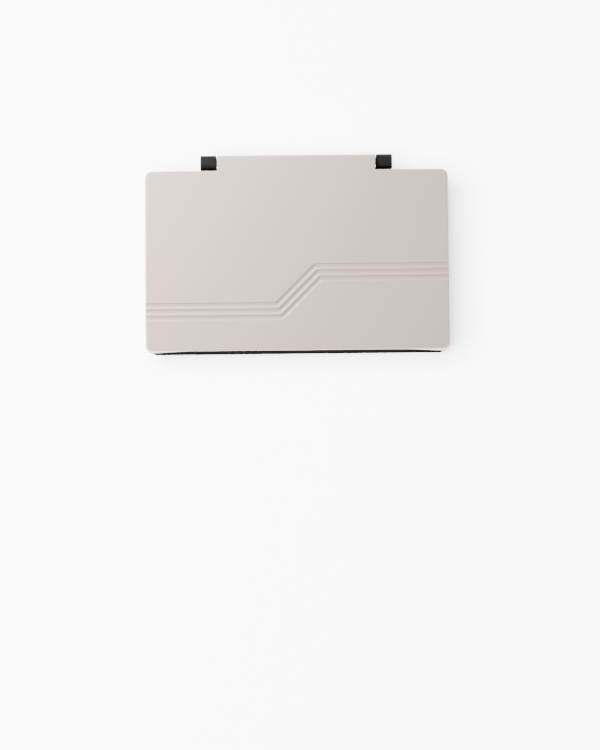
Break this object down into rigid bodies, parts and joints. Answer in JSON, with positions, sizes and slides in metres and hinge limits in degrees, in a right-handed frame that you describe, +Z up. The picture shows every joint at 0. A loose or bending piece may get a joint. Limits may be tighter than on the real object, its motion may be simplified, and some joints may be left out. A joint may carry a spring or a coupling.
{
  "type": "stamp ink pad",
  "caption": "Flat rectangular case with a raised inked cloth pad inside, a grooved hinged lid and a bare label recess underneath.",
  "frame": {"origin": "on the table under the middle of the case, in the plane of the foot ribs", "axes": "+X along the case's long side, +Y from the opening edge towards the hinge, +Z up"},
  "size_m": [0.1, 0.0649, 0.016],
  "materials": {
    "tray_black": "satin moulded",
    "lid_grey": "fine matt moulded",
    "frame_black": "satin moulded",
    "inked_cloth": "damp woven",
    "inked_felt": "pressed felt",
    "grey_board": "pressed board",
    "label_paper": "smooth uncoated"
  },
  "bodies": {
    "base": {"base_tray": "tray_black", "pad_frame": "frame_black", "ink_cloth": "inked_cloth", "felt_core": "inked_felt", "backing_card": "grey_board", "base_label": "label_paper"},
    "lid": {"lid_cover": "lid_grey"}
  },
  "joints": [
    {"name": "lid_hinge", "type": "hinge", "parent": "base", "child": "lid", "pos_m": [0, 0.0326, 0.0127], "axis": [-1, 0, 0], "range_deg": [0, 188]}
  ]
}
